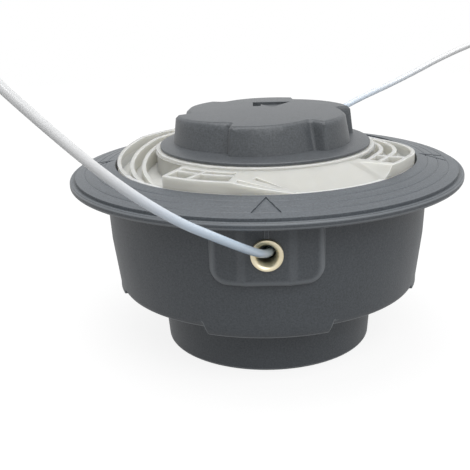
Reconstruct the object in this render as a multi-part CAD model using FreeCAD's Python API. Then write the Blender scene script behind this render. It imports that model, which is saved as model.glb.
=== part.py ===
import FreeCAD, Part
import math
import os

# Bump feed trimmer head, millimetres. It stands on its neck with the bump knob up.
# Origin: centre of the neck's base. +Z runs up the drive axis, the front eyelet is at -Y.

# Drive side: neck collar, hub and arbor bush
NECK_BASE_RADIUS = 34.4
NECK_TOP_RADIUS = 36.0
NECK_WALL = 3.4
HUB_RADIUS = 13.0
HUB_FACE_Z = 4.5
GUSSET_COUNT = 6
GUSSET_THICKNESS = 2.2
GUSSET_HEIGHT = 6.0
BUSH_ACROSS_FLATS = 17.0
BUSH_HEIGHT = 13.0
BUSH_SPIGOT_ACROSS_FLATS = 10.0
BUSH_SPIGOT_HEIGHT = 6.0
BUSH_CHAMFER = 0.6
ARBOR_HOLE_RADIUS = 4.5
ARBOR_HOLE_DEPTH = 12.0
SEAT_CLEARANCE = 0.05

# Bowl and flange of the housing
BOWL_FOOT_Z = 19.6
BOWL_FOOT_RADIUS = 49.9
BOWL_WALL = 3.5
BOWL_BULGE = 0.45
BOWL_CORNER = 2.6
FLOOR_THICKNESS = 3.0
TAB_DEPTH = 2.4
TAB_HALF_WIDTH = 17.5
TAB_WIDTH_INSIDE = 5.0
TAB_END_SLANT = 0.4
SIDE_PAD_RISE = 0.6
FLANGE_RADIUS = 64.0
FLANGE_EDGE_Z = 58.0
FLANGE_CROWN_Z = 61.2
FLANGE_WALL = 2.6
RIM_HEIGHT = 2.8
RIM_WIDTH = 1.8
RIM_ROUND = 0.6
RIM_GROOVE_WIDTH = 0.6
RIM_GROOVE_DEPTH = 0.5
RING_GAP = 0.8
TOP_GROOVE_COUNT = 3
TOP_GROOVE_DEPTH = 0.25
TOP_GROOVE_WIDTH = 0.7
MARK_DEPTH = 0.4
MARK_WIDTH = 0.9
MARK_LENGTH = 8.6
MARK_HALF_SPREAD = 4.1
MARK_LEG_SLANT = 1.4
MARK_NOTCH = 2.6

# Eyelet bosses and brass eyelets
BOSS_HALF_WIDTH = 16.2
BOSS_FACE_HALF_WIDTH = 6.4
BOSS_FACE_Y = 53.9
BOSS_SHOULDER_Y = 51.3
BOSS_FOOT_Z = 35.7
BOSS_CORNER = 5.0
BOSS_EDGE_ROUND = 0.9
BOSS_RIB_WIDTH = 1.5
BOSS_RIB_PROUD = 0.5
EYELET_Z = 45.4
EYELET_BORE_RADIUS = 2.6
EYELET_WALL = 0.7
EYELET_LIP_RADIUS = 4.6
EYELET_LIP_HEIGHT = 1.2

# Bump mechanism on the central post
POST_RADIUS = 8.0
POST_FLAT = 7.0
POST_TOP_Z = 57.0
SLIDE_CLEARANCE = 0.08
TURN_CLEARANCE = 0.06
STACK_GAP = 0.2
SLEEVE_RADIUS = 13.2
SLEEVE_FLANGE_RADIUS = 16.0
SLEEVE_FLANGE_THICKNESS = 1.5
SPRING_POCKET_RADIUS = 11.4
SPRING_POCKET_DEPTH = 13.2
SPRING_RADIUS = 9.9
SPRING_WIRE = 1.5
SPRING_WIRE_FLATS = 6
SPRING_TURNS = 5.0
SPRING_SEAT_RADIUS = 12.8
SPRING_SEAT_THICKNESS = 1.0
WASHER_RADIUS = 11.0
WASHER_THICKNESS = 1.2
SCREW_RADIUS = 3.0
SCREW_HOLE_CLEARANCE = 0.2
SCREW_HEAD_RADIUS = 5.2
SCREW_HEAD_HEIGHT = 3.4
SCREW_SOCKET_ACROSS_FLATS = 4.0
SCREW_SOCKET_DEPTH = 2.2
DOG_COUNT = 6
DOG_HEIGHT = 2.6
DOG_LENGTH = 9.0
DOG_CREST = 2.5
DOG_INNER_RADIUS = 28.0
DOG_OUTER_RADIUS = 37.0

# Spool: winding core, flanges and the moulded ring that shows round the knob
SPOOL_FOOT_Z = 34.5
SPOOL_FLANGE_THICKNESS = 2.0
SPOOL_LOWER_RADIUS = 45.5
SPOOL_TUBE_WALL = 2.4
SPOOL_LIP_RADIUS = 11.6
SPOOL_LIP_THICKNESS = 1.8
SPOOL_CORE_RADIUS = 22.0
SPOOL_CORE_WALL = 2.0
SPOOL_WEB_COUNT = 6
SPOOL_WEB_THICKNESS = 1.8
DIVIDER_RADIUS = 44.0
DIVIDER_THICKNESS = 1.4
RING_UNDERSIDE_Z = 56.5
RING_RADIUS = 48.4
RING_LIP_Z = 60.9
RING_RAMP_TOP_Z = 64.8
RING_RIM_RADIUS = 35.4
RING_RIM_Z = 65.6
BOX_TOP_Z = 64.6
CELL_FLOOR_Z = 58.4
CELL_WALL = 1.2
INNER_SLOT_RADIUS = 37.4
MIDDLE_RIB_RADIUS = 40.6
BOX_START = 232.0
BOX_SWEEP = 60.0
BOX_LEAN = 6.0
BOX_LEVEL_SWEEP = 26.0
BOX_RIB_AT = 10.0
BOX_SLOPE = 11.0
FALL_GROOVE_DEPTH = 1.1
FALL_GROOVES = [
    [(4.0, 27.8), (1.4, 27.8), (1.5, 43.0)],
    [(9.6, 34.0), (7.6, 32.6), (3.2, 45.5)],
]
VANE_STARTS = (135.0, 322.0)
VANE_ENDS = (231.0, 411.0)
VANE_FALL_SWEEP = 77.0
VANE_SLOPE = 5.2
VANE_THICKNESS = 1.3
VANE_RIB_AT = 11.0
VANE_BOW_SHARE = 0.62
VANE_LANDING = 12.0
VANE_RAMP_SWEEP = 24.0
VANE_RAMP_SLOPE = 8.5
DISH_END_ROUND = 9.0
DISH_END_SINK = 0.2

# Bump knob
KNOB_SKIRT_RADIUS = 34.2
KNOB_SKIRT_EDGE = 0.9
KNOB_SKIRT_RISE = 0.9
KNOB_SEAT_GAP = 0.1
KNOB_TOP_Z = 76.2
KNOB_CROWN = 0.9
KNOB_CREST_RADIUS = 30.0
KNOB_CREST_LEAN = 1.5
KNOB_VALLEY_RADIUS = 26.8
KNOB_VALLEY_LEAN = 3.4
KNOB_LOBE_FULLNESS = 0.72
KNOB_LOBES = 6
KNOB_FIRST_STEP = 248.5
KNOB_STEP_SWEEP = 3.5
KNOB_WALL = 2.8
KNOB_EDGE_ROUND = 0.9
KNOB_STEP_ROUND = 1.1
SNAP_RING_RADIUS = 31.8
SNAP_RING_WALL = 2.0
SNAP_RING_DEPTH = 5.0
SNAP_BEAD = 0.5
SNAP_BEAD_HEIGHT = 1.2
SNAP_CLEARANCE = 0.2
MARK_RECESS_DEPTH = 1.2
MARK_RECESS_LENGTH = 12.5
MARK_RECESS_HALF_WIDTH = 6.3
MARK_TIP = (2.6, 1.7)
MARK_SLOT_WIDTH = 2.6
MARK_SLOT_LENGTH = 9.5
MARK_SLOT_DEPTH = 2.5

# Trimmer line: wound packs and the two free ends
LINE_DIAMETER = 2.4
PACK_RADIUS = 37.0
PACK_CLEARANCE = 0.1
LINE_ARC_SHARE = 0.45
FRONT_LINE_ROUTE = [
    (1.4, -47.6, 44.7),
    (0.2, -55.3, 45.7),
    (-5.2, -62.6, 49.9),
    (-12.2, -73.4, 56.8),
    (-21.4, -85.7, 65.3),
    (-33.7, -96.5, 77.9),
    (-48.8, -100.3, 93.7),
    (-56.7, -101.3, 102.4),
]
REAR_LINE_ROUTE = [
    (-1.4, 47.6, 44.9),
    (-0.2, 55.3, 46.1),
    (3.6, 63.6, 52.2),
    (20.5, 72.2, 57.8),
    (37.0, 82.2, 65.3),
    (58.4, 92.4, 72.5),
    (81.5, 97.3, 83.6),
    (95.0, 97.2, 88.3),
]

# Places that follow from the sizes above
Z_AXIS = FreeCAD.Vector(0, 0, 1)
ORIGIN = FreeCAD.Vector(0, 0, 0)
OPENING_RADIUS = RING_RADIUS + RING_GAP
BOWL_TOP_RADIUS = OPENING_RADIUS + BOWL_WALL
BOWL_TOP_Z = FLANGE_EDGE_Z - RIM_HEIGHT
FLOOR_Z = BOWL_FOOT_Z + FLOOR_THICKNESS
BUSH_TOP_Z = HUB_FACE_Z + BUSH_HEIGHT
SLEEVE_TOP_Z = POST_TOP_Z - STACK_GAP
SLEEVE_FOOT_Z = SPOOL_FOOT_Z - STACK_GAP - SLEEVE_FLANGE_THICKNESS
SPRING_SEAT_Z = FLOOR_Z + SPRING_SEAT_THICKNESS
SPRING_TOP_Z = SLEEVE_FOOT_Z + SPRING_POCKET_DEPTH
WASHER_TOP_Z = POST_TOP_Z + WASHER_THICKNESS
CHAMBER_FOOT_Z = SPOOL_FOOT_Z + SPOOL_FLANGE_THICKNESS
DIVIDER_Z = (CHAMBER_FOOT_Z + RING_UNDERSIDE_Z - DIVIDER_THICKNESS) / 2
KNOB_FOOT_Z = RING_RIM_Z + KNOB_SEAT_GAP
SNAP_BEAD_Z = KNOB_FOOT_Z - SNAP_RING_DEPTH
CUT_ROOM = 20.0
PICK_TOLERANCE = 0.01


def vector(x, y, z):
    return FreeCAD.Vector(x, y, z)


def polar(radius, azimuth, z):
    angle = math.radians(azimuth)
    return vector(radius * math.cos(angle), radius * math.sin(angle), z)


def profile_face(start, *steps):
    """Closed face in the XZ plane; a step is a point, or (middle, end) for an arc."""
    edges = []
    here = vector(start[0], 0, start[1])
    first = here
    for step in steps:
        if isinstance(step[0], tuple):
            middle = vector(step[0][0], 0, step[0][1])
            end = vector(step[1][0], 0, step[1][1])
            edges.append(Part.Arc(here, middle, end).toShape())
        else:
            end = vector(step[0], 0, step[1])
            edges.append(Part.LineSegment(here, end).toShape())
        here = end
    edges.append(Part.LineSegment(here, first).toShape())
    return Part.Face(Part.Wire(edges))


def revolved(start, *steps):
    return profile_face(start, *steps).revolve(ORIGIN, Z_AXIS, 360)


def ring(inner, outer, low, high):
    body = Part.makeCylinder(outer, high - low, vector(0, 0, low))
    if inner <= 0:
        return body
    return body.cut(Part.makeCylinder(inner, high - low, vector(0, 0, low)))


def sector(inner, outer, low, high, start, sweep):
    """Piece of a ring from azimuth start, counter-clockwise through sweep degrees."""
    face = profile_face((inner, low), (outer, low), (outer, high), (inner, high))
    return turned(face.revolve(ORIGIN, Z_AXIS, sweep), start)


def turned(shape, angle):
    copy = shape.copy()
    copy.rotate(ORIGIN, Z_AXIS, angle)
    return copy


def moved(shape, x, y, z):
    copy = shape.copy()
    copy.translate(vector(x, y, z))
    return copy


def around(shape, count):
    return [turned(shape, 360.0 * index / count) for index in range(count)]


def joined(shapes):
    return shapes[0].multiFuse(shapes[1:]).removeSplitter()


def prism(points, direction):
    """Polygon through 3-D points, extruded along direction."""
    corners = [vector(*point) for point in points]
    return Part.Face(Part.makePolygon(corners + corners[:1])).extrude(direction)


def hexagon(across_flats, low, high):
    radius = across_flats / 2 / math.cos(math.pi / 6)
    corners = [polar(radius, 60 * index, low) for index in range(6)]
    face = Part.Face(Part.makePolygon(corners + corners[:1]))
    return face.extrude(vector(0, 0, high - low))


def above_slope(azimuth, z, slope):
    """Block over a plane that passes z at an azimuth and falls counter-clockwise."""
    span = FLANGE_RADIUS
    block = Part.makeBox(span, 2 * span, CUT_ROOM, vector(0, -span / 2, 0))
    block.rotate(ORIGIN, vector(1, 0, 0), -slope)
    return turned(moved(block, 0, 0, z), azimuth)


def double_d(radius, flat, low, high):
    round_bar = Part.makeCylinder(radius, high - low, vector(0, 0, low))
    slab = Part.makeBox(2 * flat, 2 * radius, high - low, vector(-flat, -radius, low))
    return round_bar.common(slab)


def dog_teeth(z, height):
    """Ring of saw teeth on the plane z; a negative height makes them hang down."""
    tooth = prism(
        [
            (DOG_INNER_RADIUS, 0, z),
            (DOG_INNER_RADIUS, DOG_LENGTH, z),
            (DOG_INNER_RADIUS, DOG_LENGTH, z + height),
            (DOG_INNER_RADIUS, DOG_LENGTH - DOG_CREST, z + height),
        ],
        vector(DOG_OUTER_RADIUS - DOG_INNER_RADIUS, 0, 0),
    )
    return around(tooth, DOG_COUNT)


def crown_height(radius):
    """Height of the flange's conical top at a radius."""
    share = (radius - OPENING_RADIUS) / (FLANGE_RADIUS - OPENING_RADIUS)
    return FLANGE_CROWN_Z + share * (FLANGE_EDGE_Z - FLANGE_CROWN_Z)


def bowl_wall():
    """Points up the outside of the bowl's wall, from over its foot edge."""
    middle_radius = (BOWL_FOOT_RADIUS + BOWL_TOP_RADIUS) / 2 + BOWL_BULGE
    middle_z = (BOWL_FOOT_Z + BOWL_TOP_Z) / 2
    return [
        (BOWL_FOOT_RADIUS, BOWL_FOOT_Z + BOWL_CORNER),
        (middle_radius, middle_z),
        (BOWL_TOP_RADIUS, BOWL_TOP_Z),
    ]


def foot_edge(z):
    """Points round an edge under the bowl, from its flat out to its wall."""
    return [
        (BOWL_FOOT_RADIUS - BOWL_CORNER, z),
        (BOWL_FOOT_RADIUS - BOWL_CORNER / 3, z + BOWL_CORNER / 3),
        (BOWL_FOOT_RADIUS, z + BOWL_CORNER),
    ]


def flange_top():
    """Points of the flange's top from the opening out, with its turned grooves."""
    groove_outer = FLANGE_RADIUS - RIM_WIDTH + RIM_GROOVE_WIDTH
    rim_inner = FLANGE_RADIUS - RIM_WIDTH
    points = [(OPENING_RADIUS, FLANGE_CROWN_Z)]
    for index in range(TOP_GROOVE_COUNT):
        share = (index + 1) / (TOP_GROOVE_COUNT + 1)
        radius = OPENING_RADIUS + share * (rim_inner - OPENING_RADIUS)
        points.append((radius - TOP_GROOVE_WIDTH / 2, crown_height(radius - TOP_GROOVE_WIDTH / 2)))
        points.append((radius, crown_height(radius) - TOP_GROOVE_DEPTH))
        points.append((radius + TOP_GROOVE_WIDTH / 2, crown_height(radius + TOP_GROOVE_WIDTH / 2)))
    points.append((rim_inner, crown_height(rim_inner)))
    points.append((rim_inner, FLANGE_EDGE_Z - RIM_GROOVE_DEPTH))
    points.append((groove_outer, FLANGE_EDGE_Z - RIM_GROOVE_DEPTH))
    return points


def housing_shell():
    """Bowl and flange as one turned wall, and the cavity inside it."""
    rim_foot_z = FLANGE_EDGE_Z - RIM_HEIGHT
    lip_inner = FLANGE_RADIUS - RIM_WIDTH
    outer = revolved(
        (0, BOWL_FOOT_Z),
        *foot_edge(BOWL_FOOT_Z)[:2],
        *bowl_wall(),
        (BOWL_TOP_RADIUS, crown_height(BOWL_TOP_RADIUS) - FLANGE_WALL),
        (lip_inner, crown_height(lip_inner) - FLANGE_WALL),
        (lip_inner, rim_foot_z),
        (FLANGE_RADIUS - RIM_ROUND, rim_foot_z),
        (FLANGE_RADIUS, rim_foot_z + RIM_ROUND),
        (FLANGE_RADIUS, FLANGE_EDGE_Z - RIM_ROUND - RIM_GROOVE_DEPTH / 2),
        (FLANGE_RADIUS - RIM_ROUND, FLANGE_EDGE_Z - RIM_GROOVE_DEPTH / 2),
        *reversed(flange_top()),
        (0, FLANGE_CROWN_Z),
    )
    cavity = revolved(
        (0, FLOOR_Z),
        (BOWL_FOOT_RADIUS - BOWL_WALL - BOWL_CORNER, FLOOR_Z),
        (BOWL_FOOT_RADIUS - BOWL_WALL, FLOOR_Z + BOWL_CORNER),
        (OPENING_RADIUS, BOWL_TOP_Z),
        (OPENING_RADIUS, FLANGE_CROWN_Z + CUT_ROOM),
        (0, FLANGE_CROWN_Z + CUT_ROOM),
    )
    return outer, cavity


def across_bowl(half_width, low, high):
    """Bar from front to rear through the bowl's foot; its ends slant out upwards."""
    wide = half_width + TAB_END_SLANT * (high - low)
    return prism(
        [
            (-half_width, -FLANGE_RADIUS, low),
            (half_width, -FLANGE_RADIUS, low),
            (wide, -FLANGE_RADIUS, high),
            (-wide, -FLANGE_RADIUS, high),
        ],
        vector(0, 2 * FLANGE_RADIUS, 0),
    )


def foot_tabs():
    """Tabs under the front and rear of the bowl, which carry its wall on downwards."""
    low = BOWL_FOOT_Z - TAB_DEPTH
    high = BOWL_FOOT_Z + BOWL_CORNER
    inner = BOWL_FOOT_RADIUS - TAB_WIDTH_INSIDE
    edge = revolved((inner, low), *foot_edge(low), (BOWL_FOOT_RADIUS, high), (inner, high))
    return edge.common(across_bowl(TAB_HALF_WIDTH, low, high))


def side_pads():
    """Square-edged pads at the bowl's two sides, where its foot is not rounded."""
    low = BOWL_FOOT_Z + SIDE_PAD_RISE
    high = BOWL_FOOT_Z + BOWL_CORNER
    edge = ring(BOWL_FOOT_RADIUS - TAB_WIDTH_INSIDE, BOWL_FOOT_RADIUS, low, high)
    return edge.common(turned(across_bowl(TAB_HALF_WIDTH, low, high), 90))


def neck():
    """Collar, hub and gussets under the bowl's floor."""
    socket_radius = NECK_BASE_RADIUS - NECK_WALL
    collar = revolved(
        (socket_radius, 0),
        (NECK_BASE_RADIUS - RIM_ROUND, 0),
        (NECK_BASE_RADIUS, RIM_ROUND),
        (NECK_TOP_RADIUS, FLOOR_Z - FLOOR_THICKNESS / 2),
        (socket_radius, FLOOR_Z - FLOOR_THICKNESS / 2),
    )
    hub = ring(0, HUB_RADIUS, HUB_FACE_Z, FLOOR_Z - FLOOR_THICKNESS / 2)
    gusset_start = HUB_RADIUS - NECK_WALL
    gusset = Part.makeBox(
        socket_radius + NECK_WALL / 2 - gusset_start,
        GUSSET_THICKNESS,
        GUSSET_HEIGHT + FLOOR_THICKNESS / 2,
        vector(gusset_start, -GUSSET_THICKNESS / 2, BOWL_FOOT_Z - GUSSET_HEIGHT),
    )
    return [collar, hub] + around(gusset, GUSSET_COUNT)


def eyelet_boss():
    """Faceted pad on the front of the bowl, with the rib over its eyelet."""
    high = crown_height(BOSS_FACE_Y) - FLANGE_WALL / 2
    depth = BOSS_FACE_Y - BOWL_FOOT_RADIUS + BOWL_WALL + CUT_ROOM
    corner = BOSS_CORNER * (1 - math.sqrt(0.5))
    front = profile_face(
        (-BOSS_HALF_WIDTH, high),
        (-BOSS_HALF_WIDTH, BOSS_FOOT_Z + BOSS_CORNER),
        (
            (-BOSS_HALF_WIDTH + corner, BOSS_FOOT_Z + corner),
            (-BOSS_HALF_WIDTH + BOSS_CORNER, BOSS_FOOT_Z),
        ),
        (BOSS_HALF_WIDTH - BOSS_CORNER, BOSS_FOOT_Z),
        (
            (BOSS_HALF_WIDTH - corner, BOSS_FOOT_Z + corner),
            (BOSS_HALF_WIDTH, BOSS_FOOT_Z + BOSS_CORNER),
        ),
        (BOSS_HALF_WIDTH, high),
    )
    front.translate(vector(0, -BOSS_FACE_Y, 0))
    block = front.extrude(vector(0, depth, 0))
    plan = prism(
        [
            (-BOSS_HALF_WIDTH, -BOSS_SHOULDER_Y, BOSS_FOOT_Z),
            (-BOSS_FACE_HALF_WIDTH, -BOSS_FACE_Y, BOSS_FOOT_Z),
            (BOSS_FACE_HALF_WIDTH, -BOSS_FACE_Y, BOSS_FOOT_Z),
            (BOSS_HALF_WIDTH, -BOSS_SHOULDER_Y, BOSS_FOOT_Z),
            (BOSS_HALF_WIDTH, depth - BOSS_FACE_Y, BOSS_FOOT_Z),
            (-BOSS_HALF_WIDTH, depth - BOSS_FACE_Y, BOSS_FOOT_Z),
        ],
        vector(0, 0, high - BOSS_FOOT_Z),
    )
    pad = block.common(plan)
    pad = pad.makeChamfer(BOSS_EDGE_ROUND, boss_outline(pad))
    rib = Part.makeBox(
        BOSS_RIB_WIDTH,
        BOSS_RIB_PROUD + BOWL_WALL,
        high - EYELET_Z,
        vector(-BOSS_RIB_WIDTH / 2, -BOSS_FACE_Y - BOSS_RIB_PROUD, EYELET_Z),
    )
    return pad.fuse(rib)


def boss_outline(pad):
    """Edges where the pad's faceted face turns into its sides and foot."""
    found = []
    for edge in pad.Edges:
        box = edge.BoundBox
        on_side = abs(max(abs(box.XMin), abs(box.XMax)) - BOSS_HALF_WIDTH) < PICK_TOLERANCE
        upright = max(box.XLength, box.YLength) < PICK_TOLERANCE
        foot = box.ZMax < BOSS_FOOT_Z + BOSS_CORNER + PICK_TOLERANCE
        forward = box.YMax < -BOSS_SHOULDER_Y + PICK_TOLERANCE
        if forward and (foot or (on_side and upright)):
            found.append(edge)
    return found


def top_marks():
    """Shallow chevrons on the flange over the eyelets and at the sides."""
    tip = OPENING_RADIUS + MARK_WIDTH
    foot = tip + MARK_LENGTH
    low = FLANGE_EDGE_Z - RIM_HEIGHT
    rise = vector(0, 0, CUT_ROOM)
    leg = prism(
        [
            (0, -tip, low),
            (MARK_HALF_SPREAD, -foot, low),
            (MARK_HALF_SPREAD - MARK_LEG_SLANT * MARK_WIDTH, -foot, low),
            (0, -tip - MARK_NOTCH * MARK_WIDTH, low),
        ],
        rise,
    )
    chevron = leg.fuse(leg.mirror(ORIGIN, vector(1, 0, 0)))
    floor = revolved(
        (OPENING_RADIUS, FLANGE_CROWN_Z - MARK_DEPTH),
        (FLANGE_RADIUS, FLANGE_EDGE_Z - MARK_DEPTH),
        (FLANGE_RADIUS, FLANGE_CROWN_Z + CUT_ROOM),
        (OPENING_RADIUS, FLANGE_CROWN_Z + CUT_ROOM),
    )
    return [turned(chevron, angle).common(floor) for angle in (0, 90, 180, 270)]


def boss_bore():
    """Hole through the front boss that takes the eyelet's sleeve."""
    radius = EYELET_BORE_RADIUS + EYELET_WALL + SEAT_CLEARANCE
    start = vector(0, -BOSS_FACE_Y - CUT_ROOM, EYELET_Z)
    return Part.makeCylinder(radius, CUT_ROOM + CUT_ROOM, start, vector(0, 1, 0))


def rib_relief():
    """Room in the boss rib for the eyelet's lip."""
    radius = EYELET_LIP_RADIUS + SEAT_CLEARANCE
    start = vector(0, -BOSS_FACE_Y - CUT_ROOM, EYELET_Z)
    return Part.makeCylinder(radius, CUT_ROOM, start, vector(0, 1, 0))


def housing():
    """Moulded body: neck collar, bowl, flange, eyelet bosses, floor dogs and post."""
    outer, cavity = housing_shell()
    boss = eyelet_boss()
    body = outer.multiFuse([foot_tabs(), side_pads(), boss, turned(boss, 180)] + neck())
    body = body.cut(cavity)
    post = double_d(POST_RADIUS, POST_FLAT, FLOOR_Z - FLOOR_THICKNESS / 2, POST_TOP_Z)
    body = body.multiFuse([post] + dog_teeth(FLOOR_Z, DOG_HEIGHT))
    spigot_top = BUSH_TOP_Z + BUSH_SPIGOT_HEIGHT + SEAT_CLEARANCE
    drill = SCREW_RADIUS + SCREW_HOLE_CLEARANCE
    cuts = [
        hexagon(BUSH_ACROSS_FLATS + 2 * SEAT_CLEARANCE, HUB_FACE_Z, BUSH_TOP_Z),
        hexagon(BUSH_SPIGOT_ACROSS_FLATS + 2 * SEAT_CLEARANCE, BUSH_TOP_Z, spigot_top),
        ring(0, drill, BUSH_TOP_Z, POST_TOP_Z),
        boss_bore(),
        rib_relief(),
        turned(boss_bore(), 180),
        turned(rib_relief(), 180),
    ]
    return body.cut(joined(cuts + top_marks())).removeSplitter()


def arbor_bush():
    """Hexagon steel bush with the arbor thread below and the screw thread above."""
    body = hexagon(BUSH_ACROSS_FLATS, HUB_FACE_Z, BUSH_TOP_Z)
    spigot = hexagon(BUSH_SPIGOT_ACROSS_FLATS, BUSH_TOP_Z, BUSH_TOP_Z + BUSH_SPIGOT_HEIGHT)
    arbor_hole = ring(0, ARBOR_HOLE_RADIUS, HUB_FACE_Z, HUB_FACE_Z + ARBOR_HOLE_DEPTH)
    mouth = Part.makeCone(
        ARBOR_HOLE_RADIUS + BUSH_CHAMFER,
        ARBOR_HOLE_RADIUS,
        BUSH_CHAMFER,
        vector(0, 0, HUB_FACE_Z),
    )
    screw_hole = ring(
        0, SCREW_RADIUS + SEAT_CLEARANCE, HUB_FACE_Z, BUSH_TOP_Z + BUSH_SPIGOT_HEIGHT
    )
    return body.fuse(spigot).cut(joined([arbor_hole, mouth, screw_hole])).removeSplitter()


def eyelet():
    """Turned brass eyelet in the front boss, with a rolled lip outside."""
    sleeve_radius = EYELET_BORE_RADIUS + EYELET_WALL
    inner_wall = BOSS_FACE_Y - OPENING_RADIUS - SEAT_CLEARANCE
    roll = EYELET_LIP_HEIGHT / 2
    body = revolved(
        (EYELET_BORE_RADIUS, -inner_wall),
        (sleeve_radius, -inner_wall),
        (sleeve_radius, 0),
        (EYELET_LIP_RADIUS - roll / 2, 0),
        (EYELET_LIP_RADIUS, roll),
        (EYELET_LIP_RADIUS - roll, EYELET_LIP_HEIGHT),
        (EYELET_BORE_RADIUS + roll, EYELET_LIP_HEIGHT - roll / 3),
        (EYELET_BORE_RADIUS, 0),
    )
    body.rotate(ORIGIN, vector(1, 0, 0), 90)
    return moved(body, 0, -BOSS_FACE_Y, EYELET_Z)


def spring_seat():
    """Steel ring on the bowl's floor under the spring."""
    inner = POST_RADIUS + SLIDE_CLEARANCE
    return ring(inner, SPRING_SEAT_RADIUS, FLOOR_Z, SPRING_SEAT_Z)


def bump_spring():
    """Compression spring between its seat and the sleeve's shoulder; its wire has flats."""
    low = SPRING_SEAT_Z + SPRING_WIRE / 2 + SEAT_CLEARANCE
    high = SPRING_TOP_Z - SPRING_WIRE / 2 - SEAT_CLEARANCE
    path = Part.makeHelix((high - low) / SPRING_TURNS, high - low, SPRING_RADIUS)
    corners = []
    for index in range(SPRING_WIRE_FLATS):
        corner = polar(SPRING_WIRE / 2, 360.0 * index / SPRING_WIRE_FLATS, 0)
        corners.append(vector(SPRING_RADIUS + corner.x, 0, corner.y))
    section = Part.makePolygon(corners + corners[:1])
    coil = Part.Wire(path.Edges).makePipeShell([section], True, True)
    return moved(coil, 0, 0, low)


def guide_sleeve():
    """Sleeve that slides on the post's flats and carries the spool."""
    body = ring(0, SLEEVE_RADIUS, SLEEVE_FOOT_Z, SLEEVE_TOP_Z)
    flange = ring(
        0, SLEEVE_FLANGE_RADIUS, SLEEVE_FOOT_Z, SLEEVE_FOOT_Z + SLEEVE_FLANGE_THICKNESS
    )
    pocket = ring(0, SPRING_POCKET_RADIUS, SLEEVE_FOOT_Z, SPRING_TOP_Z)
    bore = double_d(
        POST_RADIUS + SLIDE_CLEARANCE, POST_FLAT + SLIDE_CLEARANCE, SLEEVE_FOOT_Z, SLEEVE_TOP_Z
    )
    return body.fuse(flange).cut(pocket.fuse(bore)).removeSplitter()


def retaining_washer():
    inner = SCREW_RADIUS + SCREW_HOLE_CLEARANCE
    return ring(inner, WASHER_RADIUS, POST_TOP_Z, WASHER_TOP_Z)


def retaining_screw():
    """Socket screw that clamps the washer, the post and the arbor bush together."""
    tip = BUSH_TOP_Z
    shank = ring(0, SCREW_RADIUS, tip, WASHER_TOP_Z)
    head = revolved(
        (0, WASHER_TOP_Z),
        (SCREW_HEAD_RADIUS, WASHER_TOP_Z),
        (SCREW_HEAD_RADIUS, WASHER_TOP_Z + SCREW_HEAD_HEIGHT / 2),
        (
            (0.8 * SCREW_HEAD_RADIUS, WASHER_TOP_Z + 0.88 * SCREW_HEAD_HEIGHT),
            (SCREW_HEAD_RADIUS / 2, WASHER_TOP_Z + SCREW_HEAD_HEIGHT),
        ),
        (0, WASHER_TOP_Z + SCREW_HEAD_HEIGHT),
    )
    head_top = WASHER_TOP_Z + SCREW_HEAD_HEIGHT
    socket = hexagon(SCREW_SOCKET_ACROSS_FLATS, head_top - SCREW_SOCKET_DEPTH, head_top)
    return shank.fuse(head).cut(socket).removeSplitter()


def arc_wall(places, thickness, low, high):
    """Curved upright wall through three (radius, azimuth) places."""
    half = thickness / 2
    inner = [polar(radius - half, azimuth, low) for radius, azimuth in places]
    outer = [polar(radius + half, azimuth, low) for radius, azimuth in places]
    edges = [
        Part.Arc(*inner).toShape(),
        Part.LineSegment(inner[2], outer[2]).toShape(),
        Part.Arc(*reversed(outer)).toShape(),
        Part.LineSegment(outer[0], inner[0]).toShape(),
    ]
    return Part.Face(Part.Wire(edges)).extrude(vector(0, 0, high - low))


def clear_of_lean(shape, inset):
    """Trim a ring piece along the box's leaning end wall, inset from its outside."""
    outer = polar(RING_RADIUS, BOX_START, CELL_FLOOR_Z)
    inner = polar(RING_RIM_RADIUS, BOX_START - BOX_LEAN, CELL_FLOOR_Z)
    along = (inner - outer).normalize()
    behind = Z_AXIS.cross(along)
    start = outer - along * CUT_ROOM - behind * inset
    end = inner + along * CUT_ROOM - behind * inset
    corners = [start, end, end + behind * CUT_ROOM, start + behind * CUT_ROOM]
    return shape.cut(prism(corners, vector(0, 0, CUT_ROOM)))


def ring_box():
    """Wedge that runs down to the ring's lip, and the cells and grooves cut in it."""
    wall_angle = math.degrees(CELL_WALL / RING_RADIUS)
    cell_outer = RING_RADIUS - CELL_WALL
    outer_row = MIDDLE_RIB_RADIUS + CELL_WALL / 2
    inner_row = MIDDLE_RIB_RADIUS - CELL_WALL / 2
    slope_start = BOX_START + BOX_LEVEL_SWEEP
    block = sector(
        RING_RIM_RADIUS,
        RING_RADIUS,
        CELL_FLOOR_Z,
        BOX_TOP_Z,
        BOX_START - BOX_LEAN,
        BOX_SWEEP + BOX_LEAN,
    )
    ahead = sector(0, FLANGE_RADIUS, 0, BOX_TOP_Z + CUT_ROOM, slope_start, BOX_SWEEP)
    fall = above_slope(slope_start, BOX_TOP_Z, BOX_SLOPE).common(ahead)
    wedge = clear_of_lean(block, 0).cut(fall)
    splits = [-BOX_LEAN, BOX_RIB_AT, BOX_LEVEL_SWEEP]
    cuts = []
    for start, end in zip(splits, splits[1:]):
        cell_start = BOX_START + start + wall_angle / 2
        cell_sweep = end - start - wall_angle
        for inner, outer in ((INNER_SLOT_RADIUS, inner_row), (outer_row, cell_outer)):
            cell = sector(inner, outer, CELL_FLOOR_Z, BOX_TOP_Z, cell_start, cell_sweep)
            cuts.append(clear_of_lean(cell, CELL_WALL))
    sunk = above_slope(slope_start, BOX_TOP_Z - FALL_GROOVE_DEPTH, BOX_SLOPE)
    for groove in FALL_GROOVES:
        corners = [
            polar(RING_RADIUS - inset, BOX_START + along, CELL_FLOOR_Z) for inset, along in groove
        ]
        cuts.append(prism(corners, vector(0, 0, BOX_TOP_Z - CELL_FLOOR_Z)).common(sunk))
    return wedge, joined(cuts)


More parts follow.
